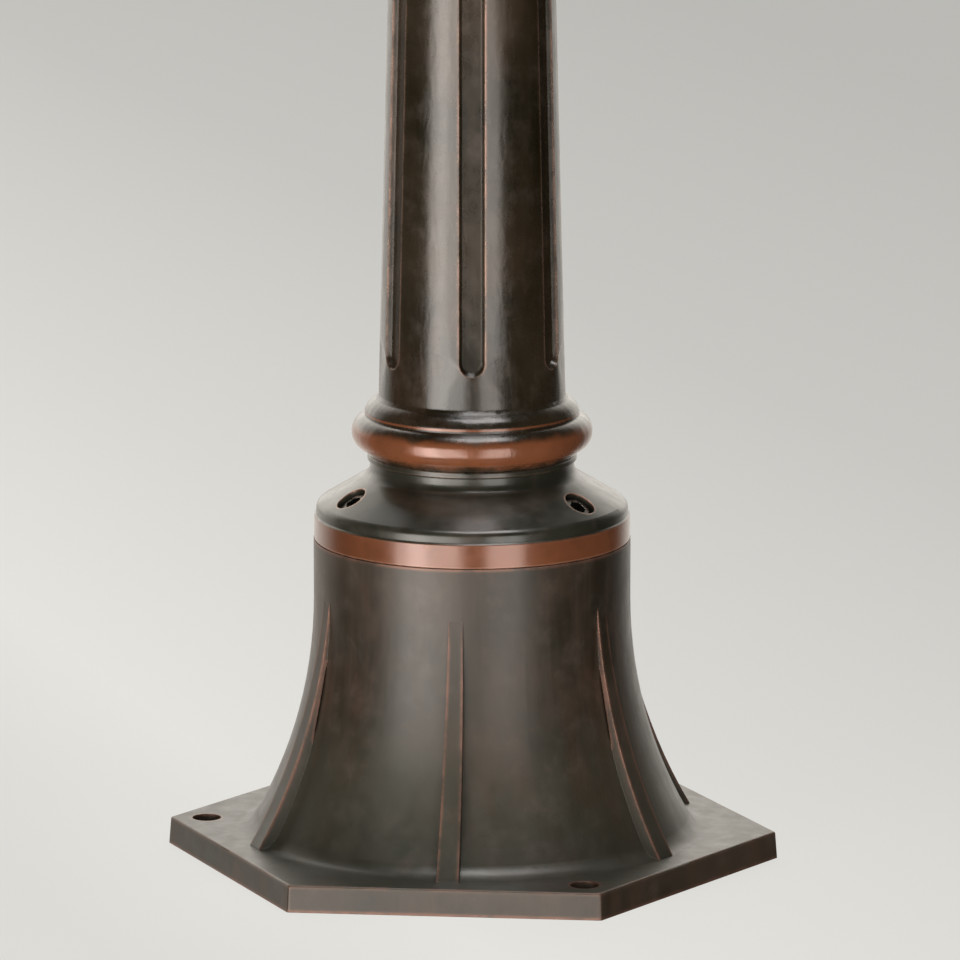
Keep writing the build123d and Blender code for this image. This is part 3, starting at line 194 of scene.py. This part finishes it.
def cast_bronze(name, copper=(), roughness=0.34, runs=0.5, grain=0.00003, peel=0.0, edge_reach=0.0011,
                foot=None, rounding=0.0006, tones=(DARK, BROWN), glow=1.0,
                russet=0.35, worn_and_highlight_tone=WORN_AND_EDGE_HIGHLIGHT, edge_from=0.16, coat=0.6, coat_roughness=0.18):
    """Dark lacquered bronze that is rubbed back to copper on its edges and in the bands of copper. The pale
    rubbed edges also paint a highlight on the edges, and creases and recesses get painted shade.

    A band is its lowest and highest point and how softly it ends. foot is the height where the olive
    dust is thickest and the height where it ends. peel is the depth of the dents in the lacquer.
    """
    s = Shader(name)
    z = s.axis("Z")
    cloud = s.noise(17, 4, 0.6)
    fine = s.noise(120, 4, 0.65)
    run = s.noise(95, 4, 0.6, stretch=(1, 1, 0.07))
    dark, brown = tones
    colour = s.mix(s.ramp(cloud, 0.35, 0.65), dark, brown)
    colour = s.mix(s.math("MULTIPLY", s.ramp(run, 0.42, 0.72), runs), colour, brown)
    patch = s.noise(34, 5, 0.62, stretch=(1, 1, 0.35))
    colour = s.mix(s.ramp(patch, 0.52, 0.72, 0.0, russet), colour, RUSSET)
    if foot is not None:
        low, high = foot
        share = s.math("MULTIPLY", s.ramp(z, low, low + 0.001), s.ramp(z, low, high, 0.85, 0.0))
        share = s.math("MULTIPLY", share, s.ramp(patch, 0.35, 0.65, 1.0, 0.55))
        colour = s.mix(share, colour, OLIVE)
    colour = s.mix(s.ramp(fine, 0.50, 0.80, 0.0, 0.30), colour, DUST)
    rubbed = None
    for low, high, soft in copper:
        ragged = s.math("MULTIPLY_ADD", s.math("SUBTRACT", fine, 0.5), soft * 1.5, z)
        one = s.band(ragged, low, high, soft)
        rubbed = one if rubbed is None else s.math("MAXIMUM", rubbed, one)
    # Outside edges get a pale tone: partly real rubbed-back wear, partly a painted edge highlight.
    edge = s.near_edge(edge_reach)
    patchy = s.ramp(fine, 0.30, 0.60, 0.15, 1.0)
    worn_and_highlight = s.math("MULTIPLY", s.ramp(edge, edge_from, edge_from + 0.30), patchy)
    speckled = s.ramp(fine, 0.3, 0.7, roughness - 0.05, roughness + 0.07)
    rough = s.math("ADD", speckled, s.ramp(run, 0.35, 0.70, -0.03, 0.06))
    if rubbed is not None:
        # glow lightens the copper; above 1 it is a painted lighter copy for a band that catches more light.
        bright = tuple(glow * c for c in COPPER)
        tone = s.mix(s.ramp(cloud, 0.3, 0.7), bright, tuple(0.62 * c for c in bright))
        colour = s.mix(s.math("MULTIPLY", rubbed, s.ramp(fine, 0.2, 0.6, 0.72, 1.0)), colour, tone)
        rough = s.blend(rubbed, rough, s.ramp(fine, 0.3, 0.7, 0.19, 0.27))
        worn_and_highlight = s.math("MAXIMUM", worn_and_highlight, s.math("MULTIPLY", rubbed, s.ramp(edge, 0.12, 0.4, 0.0, 0.7)))
    colour = s.mix(worn_and_highlight, colour, worn_and_highlight_tone)
    # Painted shade: creases and recesses are darkened towards a near-black brown.
    crease_shade = s.in_crease(0.002)
    colour = s.mix(s.ramp(crease_shade, 0.40, 0.90, 0.0, 0.45), colour, PAINTED_CREASE_SHADE)
    normal = s.bump(s.noise(260, 3, 0.6), grain, s.rounded(rounding))
    if peel:
        dents = s.noise(300, 2, 0.5, stretch=(1, 1, 0.35), distortion=0.4)
        normal = s.bump(dents, peel, normal)
        waves = s.noise(75, 2, 0.5, stretch=(1, 1, 0.16))
        normal = s.bump(waves, peel * 2.4, normal)
    metal = s.blend(worn_and_highlight, 0.40, 0.75)
    if rubbed is not None:
        metal = s.blend(rubbed, metal, 0.22)
    return s.finish(
        BROWN, Base_Color=colour, Metallic=metal, Roughness=rough, Normal=normal,
        Coat_Weight=coat, Coat_Roughness=coat_roughness, Specular_IOR_Level=0.6,
    )


SHAFT_TONES = ((0.010, 0.0072, 0.0020), (0.034, 0.024, 0.013))
COLLAR_TONES = ((0.013, 0.013, 0.007), (0.034, 0.033, 0.022))
# the base's subdued edge tone: rubbed wear, and partly a painted edge highlight
RIB_EDGE_WEAR_AND_HIGHLIGHT = (0.21, 0.105, 0.070)
# Copper bands as (bottom, top, softness), in metres.
COLLAR_BANDS = [(105.6 * MM, 113.4 * MM, 0.6 * MM)]
SHAFT_BANDS = [(135.0 * MM, 143.8 * MM, 2.8 * MM), (147.2 * MM, 147.9 * MM, 0.6 * MM)]
MID_BANDS = [(552.5 * MM, 560.5 * MM, 2.5 * MM), (579.0 * MM, 583.0 * MM, 0.8 * MM)]
CAPITAL_BANDS = [(1437.5 * MM, 1447.5 * MM, 2.5 * MM), (1491.5 * MM, 1498.5 * MM, 0.8 * MM)]
FINIAL_BANDS = [
    (1824.0 * MM, 1828.5 * MM, 1.0 * MM),
    (1845.0 * MM, 1848.5 * MM, 1.0 * MM),
    (1858.0 * MM, 1868.0 * MM, 6.0 * MM),
]
bronzes = {
    "base_casting": cast_bronze(
        "bronze_base", roughness=0.46, runs=0.7, foot=(0.0075, 0.080), russet=0.6, grain=0.00006,
        edge_reach=0.0015, edge_from=0.09, worn_and_highlight_tone=RIB_EDGE_WEAR_AND_HIGHLIGHT, coat=0.5, coat_roughness=0.36,
    ),
    "base_collar": cast_bronze("bronze_collar", COLLAR_BANDS, roughness=0.34, tones=COLLAR_TONES),
    # glow=1.15 paints this shaft's copper lighter than the collar's band: a lighter copy for the torus,
    # which catches more light.
    "lower_shaft": cast_bronze(
        "bronze_shaft", SHAFT_BANDS, roughness=0.26, peel=0.00012, rounding=0.0011, edge_reach=0.0016,
        tones=SHAFT_TONES, glow=1.15,
    ),
    "mid_collar": cast_bronze("bronze_mid", MID_BANDS, roughness=0.32),
    "upper_shaft": cast_bronze(
        "bronze_upper", roughness=0.26, peel=0.00012, rounding=0.0008, tones=SHAFT_TONES,
    ),
    "capital": cast_bronze("bronze_capital", CAPITAL_BANDS, roughness=0.32),
    "finial": cast_bronze("bronze_finial", FINIAL_BANDS, roughness=0.30),
    "case": cast_bronze("bronze_case", roughness=0.35, edge_reach=0.0016),
}


# ---------------------------------------------------------------- other finishes
def brushed_steel(name, tone, shine=0.32, lengthwise=(1, 1, 0.05), wear=0.25):
    s = Shader(name)
    hair = s.noise(900, 3, 0.7, stretch=lengthwise)
    stain = s.noise(60, 4, 0.6)
    dim = tuple(0.62 * c for c in tone)
    colour = s.mix(s.ramp(stain, 0.35, 0.75, 0.0, 0.8), tone, dim)
    colour = s.mix(s.ramp(hair, 0.35, 0.7, 0.0, wear), colour, dim)
    rough = s.ramp(hair, 0.3, 0.7, shine - 0.06, shine + 0.10)
    normal = s.bump(hair, 0.000008, s.rounded(0.0002))
    return s.finish(tone, Base_Color=colour, Metallic=1.0, Roughness=rough, Normal=normal)


def gear_brass():
    s = Shader("gear_brass")
    hair = s.noise(1400, 2, 0.6, stretch=(1, 0.04, 1))
    stain = s.noise(90, 4, 0.6)
    colour = s.mix(s.ramp(stain, 0.35, 0.75), (0.78, 0.56, 0.24), (0.56, 0.36, 0.13))
    # Painted shade: the brass is darkened in creases and recesses.
    crease_shade = s.ramp(s.in_crease(0.002), 0.2, 0.8, 0.0, 0.6)
    colour = s.mix(crease_shade, colour, (0.20, 0.12, 0.05))
    rough = s.ramp(hair, 0.3, 0.7, 0.20, 0.34)
    normal = s.bump(hair, 0.000006)
    return s.finish((0.7, 0.5, 0.22), Base_Color=colour, Metallic=1.0, Roughness=rough, Normal=normal)


def dial_enamel():
    s = Shader("dial_enamel")
    cloud = s.noise(22, 4, 0.6)
    speck = s.noise(900, 2, 0.5)
    colour = s.mix(s.ramp(cloud, 0.3, 0.75), (0.56, 0.53, 0.455), (0.50, 0.465, 0.385))
    colour = s.mix(s.ramp(speck, 0.72, 0.82, 0.0, 0.5), colour, (0.33, 0.28, 0.21))
    normal = s.bump(s.noise(160, 2, 0.5), 0.00001)
    rough = s.ramp(cloud, 0.3, 0.7, 0.30, 0.40)
    return s.finish(
        (0.53, 0.50, 0.42), Base_Color=colour, Roughness=rough, Normal=normal,
        Coat_Weight=0.5, Coat_Roughness=0.08,
    )


def lacquer(name, tone, light, shine, grain_scale=500, grain=0.00001, coat=0.4):
    s = Shader(name)
    cloud = s.noise(80, 4, 0.6)
    fine = s.noise(grain_scale, 3, 0.6)
    colour = s.mix(s.ramp(cloud, 0.35, 0.7), tone, light)
    # Painted highlight: outside edges are painted lighter than the lacquer.
    edge = s.ramp(s.near_edge(0.0006), 0.2, 0.5, 0.0, 0.35)
    colour = s.mix(edge, colour, tuple(min(1.0, 2.5 * c + 0.03) for c in light))
    rough = s.ramp(fine, 0.3, 0.7, shine - 0.05, shine + 0.08)
    normal = s.bump(fine, grain)
    return s.finish(
        tone, Base_Color=colour, Roughness=rough, Normal=normal, Coat_Weight=coat, Coat_Roughness=0.2,
    )


def zinc_plate():
    s = Shader("carrier_plate")
    cells = s.node("TexVoronoi", {"Vector": s.place(), "Scale": 130}, feature="F1").outputs["Color"]
    tone = s.node("SeparateColor", {"Color": cells}).outputs[0]
    colour = s.mix(tone, (0.42, 0.43, 0.44), (0.62, 0.63, 0.64))
    colour = s.mix(s.ramp(s.noise(30, 4, 0.6), 0.4, 0.8, 0.0, 0.5), colour, (0.36, 0.36, 0.36))
    rough = s.ramp(tone, 0.0, 1.0, 0.32, 0.5)
    normal = s.bump(tone, 0.000006)
    return s.finish((0.52, 0.53, 0.54), Base_Color=colour, Metallic=0.9, Roughness=rough, Normal=normal)


CELL_GOLD_FROM, CELL_LABEL_END = 9.5 * MM, 24.3 * MM  # from the cell's middle


def battery_shell():
    s = Shader("battery_shell")
    along = s.axis("X")
    tip = s.ramp(s.math("ABSOLUTE", along), CELL_LABEL_END, CELL_LABEL_END + 0.0003)
    gold = s.band(along, CELL_GOLD_FROM, CELL_LABEL_END, 0.0004)
    colour = s.mix(gold, (0.030, 0.045, 0.075), (0.60, 0.33, 0.12))
    colour = s.mix(tip, colour, (0.62, 0.62, 0.60))
    scuff = s.noise(240, 4, 0.7, stretch=(0.2, 1, 1))
    colour = s.mix(s.ramp(scuff, 0.6, 0.75, 0.0, 0.4), colour, (0.35, 0.35, 0.34))
    rough = s.ramp(scuff, 0.3, 0.7, 0.22, 0.36)
    normal = s.bump(scuff, 0.00001)
    return s.finish((0.12, 0.2, 0.32), Base_Color=colour, Metallic=0.7, Roughness=rough, Normal=normal)


GLASS_TINT = (0.98, 0.99, 0.985)


def window_glass():
    s = Shader("dial_glass")
    smear = s.noise(24, 4, 0.6, stretch=(1, 1, 0.5))
    rough = s.ramp(smear, 0.5, 0.8, 0.0, 0.05)
    return s.finish(GLASS_TINT, Base_Color=GLASS_TINT, Roughness=rough, IOR=1.45, Transmission_Weight=1.0)


slot_materials = {
    "bronze_casting": bronzes["case"],
    "dark_screws": brushed_steel("dark_screws", (0.19, 0.18, 0.16), 0.26, (1, 1, 1), 0.4),
    "steel": brushed_steel("steel", (0.56, 0.56, 0.57)),
    "carrier_plate": zinc_plate(),
    "gear_brass": gear_brass(),
    "dial_enamel": dial_enamel(),
    "hand_black": lacquer("hand_black", (0.012, 0.012, 0.013), (0.022, 0.021, 0.020), 0.30),
    "motor_plastic": lacquer(
        "motor_plastic", (0.030, 0.030, 0.033), (0.044, 0.044, 0.047), 0.48, 1500, 0.00002, 0.0,
    ),
    "battery_shell": battery_shell(),
    "seal_rubber": lacquer(
        "seal_rubber", (0.018, 0.018, 0.018), (0.030, 0.030, 0.030), 0.72, 1200, 0.00003, 0.0,
    ),
    "dial_glass": window_glass(),
}
node_slots = {part["node"]: part["material_slot"] for part in frame["record"]["subparts"]}
for name, part in frame["nodes"].items():
    finish = bronzes.get(name) or slot_materials[node_slots[name]]
    part.data.materials.clear()
    part.data.materials.append(finish)
for name in ("front_glass", "back_glass"):
    frame["nodes"][name].visible_shadow = False  # daylight reaches the dial through the glass


# ---------------------------------------------------------------- dial print
STEM_SERIF_OUT = 1.3  # how far a serif stands out past its stroke, in millimetres like all of the print
VEE_SERIF_OUT = 1.2
CROSS_SERIF_OUT = 1.0
CROSS_SERIF_IN = 1.2  # on the inner side of the thin stroke


def stem(width, height, serif):
    """The letter I, as one outline round its middle."""
    h, t, b = height, width / 2, width / 2 + STEM_SERIF_OUT
    return [
        (-b, 0), (b, 0), (b, serif), (t, serif), (t, h - serif), (b, h - serif),
        (b, h), (-b, h), (-b, h - serif), (-t, h - serif), (-t, serif), (-b, serif),
    ]


def vee(span, thick, thin, height, serif):
    """The letter V: a thick stroke down, a thin stroke up, and a serif on each."""
    w, h, out = span / 2, height, VEE_SERIF_OUT
    drop = w * serif / h
    inner = (thick - thin) / 2, h * (thick + thin) / span
    return [
        (0, 0), (w - drop, h - serif), (w + out, h - serif), (w + out, h), (w - thin - out, h),
        (w - thin - out, h - serif), (w - thin - drop, h - serif), inner,
        (-w + thick + drop, h - serif), (-w + thick + out, h - serif), (-w + thick + out, h),
        (-w - out, h), (-w - out, h - serif), (-w + drop, h - serif),
    ]


def cross(span, thick, thin, height, serif):
    """The letter X: a thick stroke down to the right crossed by a thin one."""
    w, h, out, into = span / 2, height, CROSS_SERIF_OUT, CROSS_SERIF_IN

    def down(share):  # left edge of the thick stroke at this share of the height
        return -w + (span - thick) * (1 - share)

    def up(share):
        return -w + (span - thin) * share

    total = 2 * span - thick - thin
    left, right = (span - thick) / total, (span - thin) / total
    top, low = span / total, (span - thick - thin) / total
    s = serif / h
    return [
        (-w - out, 0), (-w + thin + into, 0), (-w + thin + into, serif), (up(s) + thin, serif),
        (up(low) + thin, low * h), (down(s), serif), (w - thick - out, serif), (w - thick - out, 0),
        (w + out, 0), (w + out, serif), (down(s) + thick, serif),
        (down(right) + thick, right * h), (up(1 - s) + thin, h - serif), (w + out, h - serif), (w + out, h),
        (w - thin - into, h), (w - thin - into, h - serif), (up(1 - s), h - serif),
        (up(top), top * h), (down(1 - s) + thick, h - serif), (-w + thick + out, h - serif),
        (-w + thick + out, h), (-w - out, h), (-w - out, h - serif), (down(1 - s), h - serif),
        (down(left), left * h), (up(s), serif), (-w - out, serif),
    ]


NUMERAL_FOOT, NUMERAL_HEIGHT, SERIF = 89.0, 22.0, 1.0
LETTERS = {
    "I": (6.6, lambda: stem(3.6, NUMERAL_HEIGHT, SERIF)),
    "V": (14.4, lambda: vee(12.0, 4.2, 1.5, NUMERAL_HEIGHT, SERIF)),
    "X": (14.4, lambda: cross(12.0, 4.2, 1.5, NUMERAL_HEIGHT, SERIF)),
}
HOURS = ("XII", "I", "II", "III", "IIII", "V", "VI", "VII", "VIII", "IX", "X", "XI")
RAILS = ((115.6, 116.4), (122.0, 122.8))  # the minute track's rings, inner and outer radius
CENTRE_RING = (15.0, 15.7)
HOUR_TICK, MINUTE_TICK = 1.3, 0.45  # half widths
PRINT_LOW, PRINT_HIGH = 38.95, 39.22  # from the case's centre plane


def turned_point(radius, across, angle):
    """A point at this radius along a ray that leans angle clockwise from twelve, and across to its right."""
    c, s = math.cos(angle), math.sin(angle)
    return (radius * s + across * c, radius * c - across * s)


def add_outline(mesh, points):
    """Raises a closed outline by the print's thickness."""
    low = [mesh.verts.new((x, -PRINT_LOW, y)) for x, y in points]
    high = [mesh.verts.new((x, -PRINT_HIGH, y)) for x, y in points]
    count = len(points)
    mesh.faces.new(high)
    for i in range(count):
        j = (i + 1) % count
        mesh.faces.new((low[i], low[j], high[j], high[i]))


def add_ring(mesh, inner, outer, steps=144):
    edges = []
    for depth in (PRINT_LOW, PRINT_HIGH):
        for radius in (inner, outer):
            loop = []
            for i in range(steps):
                x, y = turned_point(radius, 0, 2 * math.pi * i / steps)
                loop.append(mesh.verts.new((x, -depth, y)))
            edges.append(loop)
    low_in, low_out, high_in, high_out = edges
    for i in range(steps):
        j = (i + 1) % steps
        mesh.faces.new((high_in[i], high_in[j], high_out[j], high_out[i]))
        mesh.faces.new((low_out[i], high_out[i], high_out[j], low_out[j]))
        mesh.faces.new((low_in[i], low_in[j], high_in[j], high_in[i]))


def dial_print(side, turn):
    """All the marks of one dial as one piece. turn puts it on the back."""
    mesh = bmesh.new()
    for inner, outer in RAILS:
        add_ring(mesh, inner, outer)
    add_ring(mesh, *CENTRE_RING, 96)
    for minute in range(60):
        angle = 2 * math.pi * minute / 60
        half = HOUR_TICK if minute % 5 == 0 else MINUTE_TICK
        corners = [(RAILS[0][1], -half), (RAILS[0][1], half), (RAILS[1][0], half), (RAILS[1][0], -half)]
        add_outline(mesh, [turned_point(r, a, angle) for r, a in corners])
    for hour, letters in enumerate(HOURS):
        angle = 2 * math.pi * hour / 12
        at = -sum(LETTERS[letter][0] for letter in letters) / 2
        for letter in letters:
            advance, outline = LETTERS[letter]
            centre = at + advance / 2
            at += advance
            points = []
            for x, y in outline():
                radius = NUMERAL_FOOT + y
                flare = radius / (NUMERAL_FOOT + NUMERAL_HEIGHT / 2)
                points.append(turned_point(radius, (centre + x) * flare, angle))
            add_outline(mesh, points)
    bmesh.ops.recalc_face_normals(mesh, faces=mesh.faces)
    for vertex in mesh.verts:
        vertex.co = vertex.co * MM + Vector((0, 0, CASE_Z))
    data = bpy.data.meshes.new(side + "_dial_print")
    mesh.to_mesh(data)
    mesh.free()
    if turn:
        for vertex in data.vertices:
            vertex.co.x, vertex.co.y = -vertex.co.x, -vertex.co.y
    data.materials.append(slot_materials["hand_black"])
    piece = bpy.data.objects.new(side + "_dial_print", data)
    bpy.context.scene.collection.objects.link(piece)
    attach(piece, "post")


dial_print("front", False)
dial_print("back", True)


# ---------------------------------------------------------------- floor
FLOOR_R, DOME_R = 60.0, 62.0


def staged(name, mesh):
    """Makes an object of the stage from a mesh in the making."""
    data = bpy.data.meshes.new(name)
    mesh.to_mesh(data)
    mesh.free()
    made = bpy.data.objects.new(name, data)
    bpy.context.scene.collection.objects.link(made)
    return made


def disc(name, radius, steps):
    mesh = bmesh.new()
    rim = []
    for i in range(steps):
        angle = 2 * math.pi * i / steps
        rim.append(mesh.verts.new((radius * math.cos(angle), radius * math.sin(angle), 0)))
    mesh.faces.new(rim)
    return staged(name, mesh)


def sphere(name, radius):
    mesh = bmesh.new()
    bmesh.ops.create_uvsphere(mesh, u_segments=64, v_segments=32, radius=radius)
    return staged(name, mesh)


GLOW_TURN = math.radians(25.5)  # direction on the ground along which the paper's glow changes
GLOW = ((-0.15, 0.670), (-0.04, 0.757), (0.12, 0.662), (0.38, 0.540), (0.76, 0.474))  # metres along it, grey


def paper():
    """Pale paper whose glow falls off across the ground, as under a light from one side."""
    s = Shader("paper")
    east = s.math("MULTIPLY", s.axis("X"), math.cos(GLOW_TURN))
    along = s.math("MULTIPLY_ADD", s.axis("Y"), math.sin(GLOW_TURN), east)
    start, end = GLOW[0][0], GLOW[-1][0]
    ramp = s.node("ValToRGB", {"Fac": s.ramp_linear(along, start, end)})
    stops = ramp.color_ramp.elements
    for i, (place, grey) in enumerate(GLOW):
        at = (place - start) / (end - start)
        stop = stops[i] if i < 2 else stops.new(at)
        stop.position = at
        stop.color = (grey, 0.990 * grey, 0.944 * grey, 1)
    return s, ramp.outputs["Color"]


paper_shader, paper_tone = paper()
emission = paper_shader.node("Emission", {"Color": paper_tone, "Strength": 0.9})
matte = paper_shader.node("BsdfDiffuse", {"Color": (0.14, 0.138, 0.132)})
both = paper_shader.node("AddShader", {0: emission.outputs[0], 1: matte.outputs[0]})
paper_shader.node("OutputMaterial", {"Surface": both.outputs[0]})
paper_shader.material.cycles.emission_sampling = "NONE"

floor = disc("floor", FLOOR_R, 96)
floor.data.materials.append(paper_shader.material)
floor.visible_glossy = False
floor.visible_shadow = False


# ---------------------------------------------------------------- lights
def softbox(name, turn, rise, distance, width, height, radiance, tint=(1, 1, 1), aim_z=0.25):
    """An even rectangular light. turn is degrees anticlockwise from the camera, seen from above."""
    data = bpy.data.lights.new(name, "AREA")
    data.shape = "RECTANGLE"
    data.size, data.size_y = width, height
    data.energy = radiance * math.pi * width * height
    data.color = tint
    lamp = bpy.data.objects.new(name, data)
    bpy.context.scene.collection.objects.link(lamp)
    angle = EYE_TURN + math.radians(turn)
    level = math.radians(rise)
    target = Vector((0, 0, aim_z))
    away = Vector((math.cos(angle) * math.cos(level), math.sin(angle) * math.cos(level), math.sin(level)))
    lamp.location = target + away * distance
    lamp.rotation_mode = "QUATERNION"
    lamp.rotation_quaternion = away.to_track_quat("Z", "Y")
    lamp.visible_camera = False


softbox("key_left", -34, -16, 2.4, 2.00, 2.4, 4.0, (1.0, 0.965, 0.935))
softbox("key_core", -40, -16, 2.3, 0.55, 2.4, 2.6, (1.0, 0.97, 0.95))
softbox("fill_right", 24, -16, 2.4, 1.10, 2.4, 3.6, (1.0, 0.965, 0.94))
softbox("front_left", -9, -16, 2.5, 0.30, 2.4, 1.6, (1.0, 0.955, 0.92))
softbox("overhead", 25, 76, 2.2, 1.3, 1.2, 7.0, (0.97, 0.97, 1.0))
softbox("fill_back", 186, 38, 2.8, 2.4, 1.4, 1.6, (1.0, 0.98, 0.96), aim_z=1.2)

world = bpy.data.worlds.new("world")
world.use_nodes = True
bpy.context.scene.world = world
sky = Shader("sky", world.node_tree)
toward = sky.node("TexCoord").outputs["Generated"]
BACKDROP_TURN = EYE_TURN - math.radians(172)  # the bright side of the room
ahead = (math.cos(BACKDROP_TURN), math.sin(BACKDROP_TURN), 0.0)
facing = sky.node("VectorMath", {0: toward, 1: ahead}, operation="DOT_PRODUCT").outputs["Value"]
level = sky.ramp(facing, 0.48, 0.88, 0.012, 0.85)
height = sky.node("SeparateXYZ", {"Vector": toward}).outputs["Z"]
level = sky.math("MULTIPLY", level, sky.ramp(height, -0.12, 0.20, 1.0, 2.0))
background = sky.node("Background", {"Strength": level, "Color": (1.0, 0.95, 0.87)})
sky.node("OutputWorld", {"Surface": background.outputs[0]})

# A pale dome far behind everything, for the views that look past the floor's edge.
dome = sphere("dome", DOME_R)
pale = Shader("pale_dome")
haze = pale.ramp(pale.axis("Z"), 0.0, 30.0)
glow = pale.node("Emission", {"Color": pale.mix(haze, (0.445, 0.441, 0.421), (0.60, 0.595, 0.57))})
pale.node("OutputMaterial", {"Surface": glow.outputs[0]})
pale.material.cycles.emission_sampling = "NONE"
dome.data.materials.append(pale.material)
dome.visible_diffuse = False
dome.visible_glossy = False
dome.visible_shadow = False
